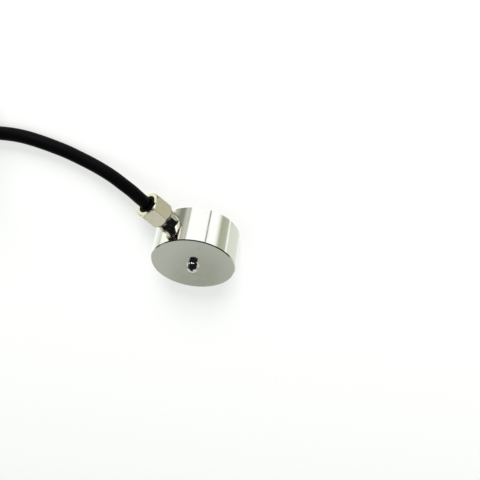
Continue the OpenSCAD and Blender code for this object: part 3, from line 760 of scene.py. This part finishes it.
# on the cable's own UVs, in mm, a scale of 3 gives a grain of about 0.3 mm
jacket = satin_polymer("black_polyurethane_jacket", "#040405", 0.42, 3.0, 0.00003, (1, 3, 1),
                       "UV", gleam=0.06)
jacket_cut = satin_polymer("black_jacket_end", "#060607", 0.42, 3000, 0.00003, gleam=0.1)
seal_rubber = satin_polymer("nitrile_rubber", "#050505", 0.6, 2500, 0.00004, gleam=0.08)
nylon = satin_polymer("moulded_black_nylon", "#191919", 0.36, 1800, 0.00002)
shrunk = satin_polymer("shrunk_polyolefin", "#151516", 0.5, 0.9, 0.00008, (2.5, 0.6, 1), "UV")
silicone = satin_polymer("clear_silicone", "#D8D8CF", 0.35, 1200, 0.00004, tint=0.95)
for piece in tie_pieces:
    wear(piece, nylon)
for piece, polymer in (
    (cable_piece, jacket),
    ("jacket_end", jacket_cut),
    ("gland_seal", seal_rubber),
    (sleeve, shrunk),
    ("potting", silicone),
):
    wear(piece, polymer)
print("polymers:", jacket.name, nylon.name, seal_rubber.name, shrunk.name, silicone.name)

# %% Insulation of the cores
insulation_tones = {"red": "#B3201B", "black": "#161616", "green": "#0F6B35", "white": "#E2E1DB"}
insulation = {
    colour: satin_polymer(f"pvc_{colour}", tone, 0.38, 5.0, 0.00001, (1, 1, 1), "UV", 0.93)
    for colour, tone in insulation_tones.items()
}
for piece in free_pieces + inner_pieces[:4]:
    wear(piece, insulation[piece.name.split("_")[1]])
print("insulation:", list(insulation))

# %% [markdown]
# ## Gauges and terminal ring
# A foil strain gauge is a film of polyimide, amber and slightly clear, with a grid of
# constantan on it that looks like dull pinkish steel. The solid holds both, one on the
# other, so the material tells them apart by height. The terminal ring is green board.
# A chip resistor has a dark body and tinned ends, told apart along its own length.

# %% Two finishes on one solid
def two_finishes(name, under, over, measure):
    """Mixes two sets of colour, metallic and roughness where a measure passes zero."""
    material, tree, shader = finish(name, under[0], under[1], under[2])
    place = add(tree, "ShaderNodeTexCoord").outputs["Object"]
    side = measure(tree, place)
    grain = add(tree, "ShaderNodeTexNoise", Vector=place, Scale=3500.0, Detail=3.0)
    shade = add(tree, "ShaderNodeMix", {"data_type": "RGBA"}, i0=side, i6=linear(under[0]),
                i7=linear(over[0]))
    worn = add(tree, "ShaderNodeMix", {"data_type": "RGBA", "blend_type": "MULTIPLY"}, i0=0.25,
               i6=shade.outputs[2], i7=grain.outputs["Color"])
    tree.links.new(worn.outputs[2], shader.inputs["Base Color"])
    for socket, low, high in (("Metallic", under[1], over[1]), ("Roughness", under[2], over[2])):
        if low != high:
            value = add(tree, "ShaderNodeMix", {"data_type": "FLOAT"}, i0=side, i2=low, i3=high)
            tree.links.new(value.outputs[0], shader.inputs[socket])
    relief = add(tree, "ShaderNodeBump", Strength=0.2, Distance=0.00001,
                 Height=grain.outputs["Fac"])
    tree.links.new(relief.outputs[0], shader.inputs["Normal"])
    return material


def below(height):
    """Measure that is 1 under a height in millimetres."""
    def measure(tree, place):
        """1 where z is less than the height."""
        z = add(tree, "ShaderNodeSeparateXYZ", Vector=place).outputs["Z"]
        under = add(tree, "ShaderNodeMath", {"operation": "LESS_THAN"}, i0=z, i1=height * mm)
        return under.outputs[0]
    return measure


def beyond(angle, reach):
    """Measure that is 1 farther than a reach from the middle line of a turned piece."""
    def measure(tree, place):
        """1 where the turned piece's y is past the reach on either side."""
        turned = (0, 0, float(np.radians(-angle)))
        turn = add(tree, "ShaderNodeMapping", Vector=place, Rotation=turned)
        y = add(tree, "ShaderNodeSeparateXYZ", Vector=turn.outputs[0]).outputs["Y"]
        away = add(tree, "ShaderNodeMath", {"operation": "ABSOLUTE"}, i0=y)
        end = add(tree, "ShaderNodeMath", {"operation": "GREATER_THAN"}, i0=away.outputs[0],
                  i1=reach * mm)
        return end.outputs[0]
    return measure


# each set is a colour, a metallic and a roughness
film, foil = ("#B8772A", 0.0, 0.35), ("#B9A89A", 1.0, 0.35)
enamel, bare_copper = ("#8A3B1C", 0.0, 0.25), ("#B96B3C", 1.0, 0.3)
board_top, board_under = ("#14603A", 0.0, 0.4), ("#0F4F30", 0.0, 0.5)
chip_body, chip_end = ("#1A1A1C", 0.0, 0.45), ("#CFD0D2", 1.0, 0.3)
gauge_look = two_finishes("polyimide_with_foil", film, foil, below(8.119))
for number in range(1, 5):
    wear(f"gauge_{number}", gauge_look)
wear("gauge_wires", two_finishes("enamelled_copper", enamel, bare_copper, below(6.3)))
wear("terminal_ring", two_finishes("green_board", board_top, board_under, below(5.42)))
for name, angle in (("zero_resistor", 120), ("span_resistor", 180), ("thermal_resistor", 240)):
    wear(name, two_finishes(f"chip_at_{angle}", chip_body, chip_end, beyond(angle, 0.48)))
print("inside dressed")

# %% [markdown]
# ## Floor and light
# The photograph was taken on white in soft light, which polished steel shows as broad
# pale and dark bands. The floor is plain and pale and takes the soft shadow. A camera
# ray sees half of its colour as plain white, so the shadow stays light as in the
# photograph. A mirrored ray goes through it, down to the part of the room below.

# %% Floor
def make_floor():
    """A wide pale plate under the cell; its shadows are softened for the camera, and
    mirrors look through it to the room."""
    reach = 4000.0
    corners = np.array([
        [(-reach, -reach, 0), (reach, -reach, 0)],
        [(-reach, reach, 0), (reach, reach, 0)],
    ])
    floor = grid_piece("floor", corners, around=False, caps=False)
    material, tree, shader = finish("pale_floor", "#FAFAF9", 0.0, 0.9)
    path = add(tree, "ShaderNodeLightPath")
    glow = add(tree, "ShaderNodeEmission", Color=(1, 1, 1, 1), Strength=1.0)
    part = add(tree, "ShaderNodeMath", {"operation": "MULTIPLY"},
               i0=path.outputs["Is Camera Ray"], i1=0.5)
    plate = add(tree, "ShaderNodeMixShader", i0=part.outputs[0], i1=shader.outputs[0],
                i2=glow.outputs[0])
    gone = add(tree, "ShaderNodeBsdfTransparent")
    mixed = add(tree, "ShaderNodeMixShader", i0=path.outputs["Is Glossy Ray"],
                i1=plate.outputs[0], i2=gone.outputs[0])
    tree.links.new(mixed.outputs[0], tree.nodes["Material Output"].inputs["Surface"])
    floor.data.materials.append(material)
    return floor


floor = make_floor()
print("floor", [round(v) for v in floor.dimensions], "m")

# %% [markdown]
# ## The room that the steel mirrors
# Lamps are not enough for a mirror: what it shows is the room. So the world is drawn as
# a room, and only reflections see the drawing. It is described by where a mirrored ray
# points. Rays that go down see a surround, written as a list of compass angles and
# tones: a pale side, an olive screen beside a bright slit, white walls with a thin dark
# gap between them, and a grey side. Rays that go up see a dark ceiling with a pale wall
# at the back, on which the camera stands as a soft grey spot. A dozen plain tones, all
# with a slight olive tint, are enough for all of it.

# %% Tones round the cell
white, bright, pale, shaded = "#FFFFFF", "#F8FAF6", "#E6EAE3", "#D5D9CE"
grey, dim, olive, deep_olive = "#C4C8BA", "#B6B9AA", "#ACAF9C", "#A4A890"
deep, dusk, gap = "#94978A", "#828579", "#4C4D46"
back_grey, back_pale = "#ACAEA5", "#C5C9C4"
surround = [
    # the pale side behind, and the bright slit beside the screen
    (-180, shaded), (-141.5, shaded), (-136.3, bright), (-133.2, bright),
    # the olive screen
    (-131, dim), (-122, olive), (-107, deep_olive), (-102, shaded), (-96, bright),
    # two white walls with a dark gap
    (-91, white), (-71.5, white), (-70.2, gap), (-68.4, gap), (-67, white),
    # the edge of the white wall and the grey side
    (-16, white), (-14.6, deep), (-13, deep), (-11.5, grey), (-3, dim), (3, dusk), (13, dusk),
    (23, olive), (45, olive), (66, grey),
    # the pale side again
    (88, pale), (95, pale), (114, bright), (148, pale), (170, shaded), (180, shaded),
]
# the pale wall at the back, from the floor up
rising = [
    (-0.1, grey), (0.3, grey), (0.42, back_grey), (0.62, back_grey), (0.72, back_pale),
    (1.0, back_pale),
]
mirror_of_steel = 0.775  # share of the light that the polished steel gives back


def seen_in_steel(tone):
    """The tone that the steel shows as this one: linear light over its reflectance."""
    return tuple(v / mirror_of_steel for v in linear(tone)[:3]) + (1.0,)


def tone_list(tree, position, stops, low, high):
    """Colour ramp from a list of (value, tone): the values are spread from low to high."""
    spread = add(tree, "ShaderNodeMapRange", Value=position, i1=low, i2=high)
    ramp = add(tree, "ShaderNodeValToRGB", Fac=spread.outputs[0])
    points = ramp.color_ramp.elements
    while len(points) > 1:
        points.remove(points[-1])
    points[0].position = (stops[0][0] - low) / (high - low)
    for number, (value, tone) in enumerate(stops):
        point = points.new((value - low) / (high - low)) if number else points[0]
        point.color = seen_in_steel(tone)
    return ramp.outputs["Color"]


print("surround has", len(surround), "tones and the wall at the back", len(rising))

# %% The room
dark = (0.010, 0.010, 0.014, 1)
lamp_white = (2.5, 2.5, 2.5, 1)
even_light = (0.605, 0.64, 0.60, 1)  # what reaches all that isn't a mirror


def make_world():
    """Lays the parts of the room over each other, each one in its own direction."""
    world = bpy.data.worlds.new("studio")
    bpy.context.scene.world = world
    world.use_nodes = True
    tree = world.node_tree
    ray = add(tree, "ShaderNodeTexCoord").outputs["Generated"]
    apart = add(tree, "ShaderNodeSeparateXYZ", Vector=ray)
    x, y, z = (apart.outputs[axis] for axis in "XYZ")
    compass = add(tree, "ShaderNodeMath", {"operation": "ARCTAN2"}, i0=y, i1=x)
    # the walls lean, so a ray that points up by 1 more reads the list 60 degrees farther
    # back; at the height that the wall of the cell mirrors, the lean adds up to nothing
    lean = add(tree, "ShaderNodeMath", {"operation": "MULTIPLY_ADD"}, i0=z, i1=-60.0, i2=-36.2)
    degrees = add(tree, "ShaderNodeMath", {"operation": "MULTIPLY_ADD"}, i0=compass.outputs[0],
                  i1=57.3, i2=lean.outputs[0])
    around = tone_list(tree, degrees.outputs[0], surround, -180, 180)
    back_wall = tone_list(tree, z, rising, -0.1, 1)
    # tone, direction, and the cosines between which it fades in
    parts_of_room = [
        (back_wall, (-0.805, 0.594, 0.0), 0.30, 0.42),
        (seen_in_steel("#92968A"), (-0.614, 0.599, 0.514), 0.9985, 0.9999),  # the camera
        (dark, (-0.30, 0.25, 0.92), 0.86, 0.90),  # the ceiling over the back wall
        ((0.80, 0.82, 0.80, 1), (-0.62, 0.05, 0.785), 0.962, 0.98),  # a panel in it
        (around, (0.125, 0.169, -0.978), -0.05, 0.06),  # all that lies below
        (lamp_white, (0.98, -0.15, 0.10), 0.93, 0.96),  # lamp beyond the cable
        ((1.05, 1.05, 0.94, 1), (0.69, 0.69, 0.2), 0.92, 0.96),  # wall that it lights
        (lamp_white, (0.64, -0.76, 0.10), 0.95, 0.97),  # lamp beside the camera
        ((0.14, 0.15, 0.12, 1), (-0.60, -0.745, -0.30), 0.964, 0.976),  # dark cloth
        ((0.20, 0.21, 0.165, 1), (-0.52, -0.42, -0.745), 0.976, 0.990),  # its lower end
        ((0.70, 0.72, 0.61, 1), (-0.54, -0.79, -0.295), 0.9895, 0.996),  # card before it
        ((0.16, 0.17, 0.13, 1), (0.30, -0.56, -0.77), 0.974, 0.986),  # shade near the foot
        ((0.02, 0.02, 0.025, 1), (0.09, -0.985, -0.14), 0.95, 0.975),  # black stand
        ((1.18, 1.24, 1.14, 1), (0.513, 0.628, -0.585), 0.955, 0.98),  # low pale card
    ]
    room = dark
    for tone, direction, low, high in parts_of_room:
        along = add(tree, "ShaderNodeVectorMath", {"operation": "DOT_PRODUCT"}, i0=ray,
                    i1=direction)
        mask = add(tree, "ShaderNodeMapRange", Value=along.outputs["Value"], i1=low, i2=high)
        both = add(tree, "ShaderNodeMix", {"data_type": "RGBA"}, i0=mask.outputs[0], i6=room,
                   i7=tone)
        room = both.outputs[2]
    path = add(tree, "ShaderNodeLightPath")
    lit = add(tree, "ShaderNodeMix", {"data_type": "RGBA"}, i0=path.outputs["Is Glossy Ray"],
              i6=even_light, i7=room)
    shown = add(tree, "ShaderNodeMix", {"data_type": "RGBA"}, i0=path.outputs["Is Camera Ray"],
                i6=lit.outputs[2], i7=(1, 1, 1, 1))
    tree.links.new(shown.outputs[2], tree.nodes["Background"].inputs["Color"])
    return world, len(parts_of_room)


world, parts = make_world()
print("room drawn in", parts, "parts")

# %% [markdown]
# One soft lamp lights all that isn't a mirror. It stands low behind the camera, so the
# cell's shadow falls away from the viewer, where the photograph has a soft shade too.

# %% Lamp
def soft_lamp(name, place, aim, size, power):
    """Square lamp, in millimetres and watts, that shines from a place to an aim and that
    mirrors don't see."""
    data = bpy.data.lights.new(name, "AREA")
    data.size = size * mm
    data.energy = power
    lamp = bpy.data.objects.new(name, data)
    bpy.context.scene.collection.objects.link(lamp)
    place, aim = np.asarray(place, float), np.asarray(aim, float)
    back = (place - aim) / np.linalg.norm(place - aim)
    side = np.cross((0, 0, 1), back)
    side /= np.linalg.norm(side)
    up = np.cross(back, side)
    rows = [[side[i], up[i], back[i], place[i] * mm] for i in range(3)]
    lamp.matrix_world = Matrix(rows + [[0, 0, 0, 1]])
    lamp.visible_glossy = False
    return lamp


key = soft_lamp("key_lamp", (1049, -907, 440), (5, 0, 4), 380, 37.0)
print("lamp", round(key.location.length, 2), "m from the base")

# %% [markdown]
# ## Finish
# The colour view is plain sRGB, so a colour renders as it was picked.

# %% Finish
scene = bpy.context.scene
scene.view_settings.view_transform = "Standard"
